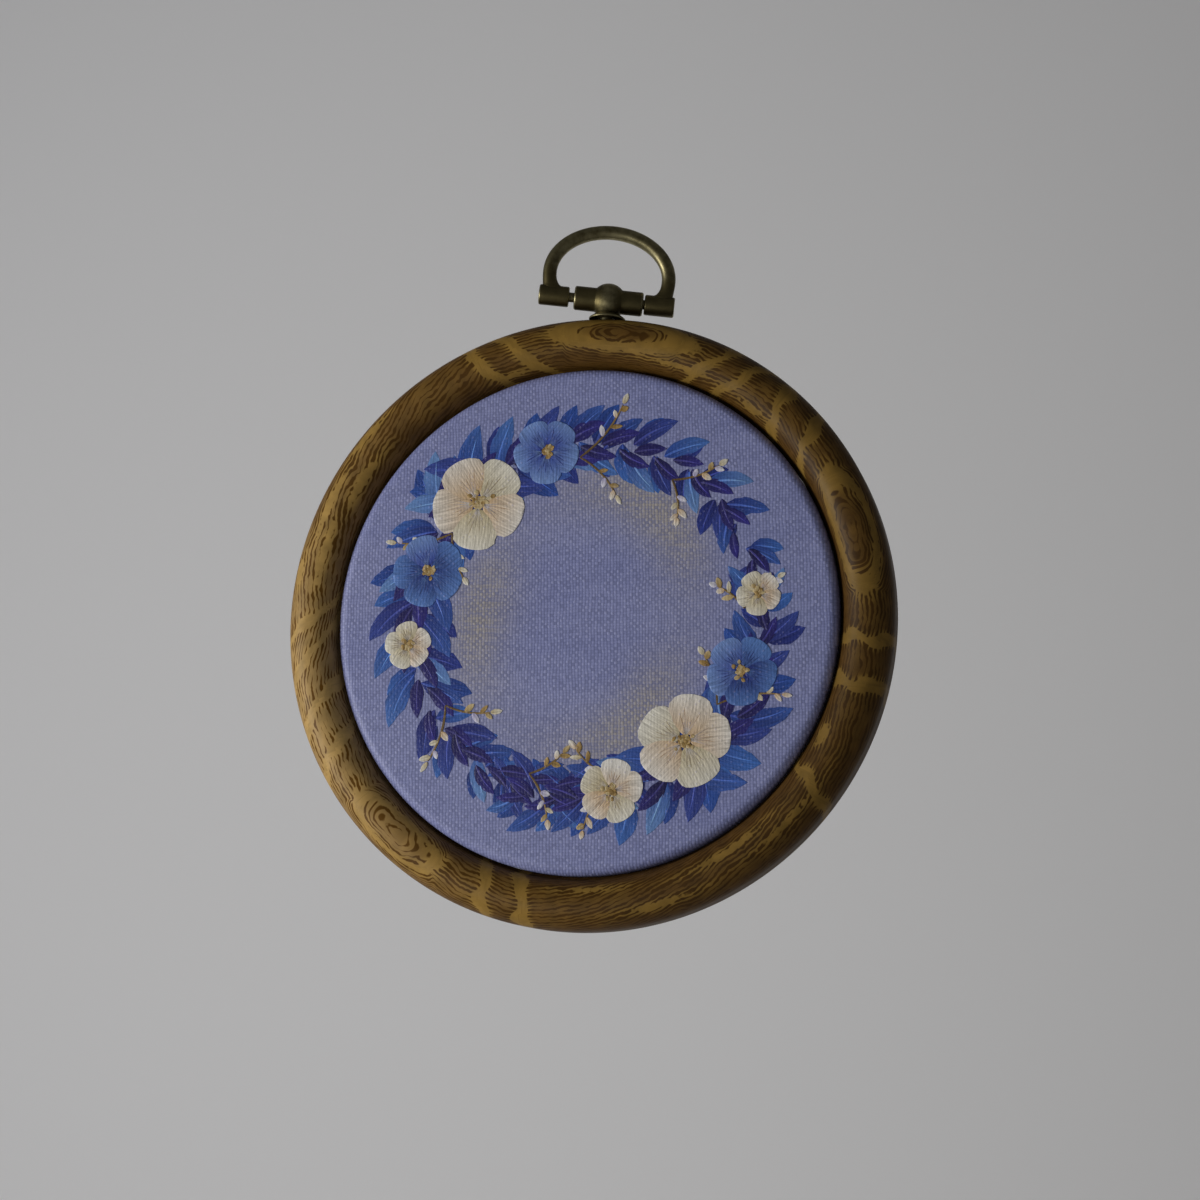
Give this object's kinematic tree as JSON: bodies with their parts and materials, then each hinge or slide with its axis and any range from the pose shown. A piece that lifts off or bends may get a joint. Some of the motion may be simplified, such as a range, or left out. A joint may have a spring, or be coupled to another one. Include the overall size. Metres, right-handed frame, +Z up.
{
  "type": "painted canvas art in a hoop frame",
  "caption": "Small round painted canvas stretched in a woodgrain vinyl hoop frame, with a hinged metal bail on top that hangs on a nail or hook.",
  "frame": {"origin": "where a nail carries the hoop: the inside of the bail's arch, straight above the hoop's centre", "axes": "+Z up, from the hoop's centre to its hanger; +Y from the painted face to the flat back, towards the wall; +X to the right as the painted face is seen"},
  "size_m": [0.125, 0.0105, 0.1452],
  "materials": {
    "woodgrain_vinyl": "semi-matte printed vinyl",
    "hoop_plastic": "moulded, satin",
    "painted_canvas": "acrylic paint on primed plain weave",
    "antique_brass": "antiqued, satin"
  },
  "bodies": {
    "hanger": {"hanger_bail": "antique_brass", "hinge_pin": "antique_brass"},
    "hoop": {"outer_ring": "woodgrain_vinyl", "inner_hoop": "hoop_plastic", "canvas": "painted_canvas", "hanger_washer": "antique_brass", "hanger_knuckle": "antique_brass"}
  },
  "joints": [
    {"name": "hanger_hinge", "type": "hinge", "parent": "hanger", "child": "hoop", "pos_m": [0, 0, -0.01317], "axis": [0.9738, 0.2248, -0.0349], "range_deg": [-124, 118]}
  ]
}
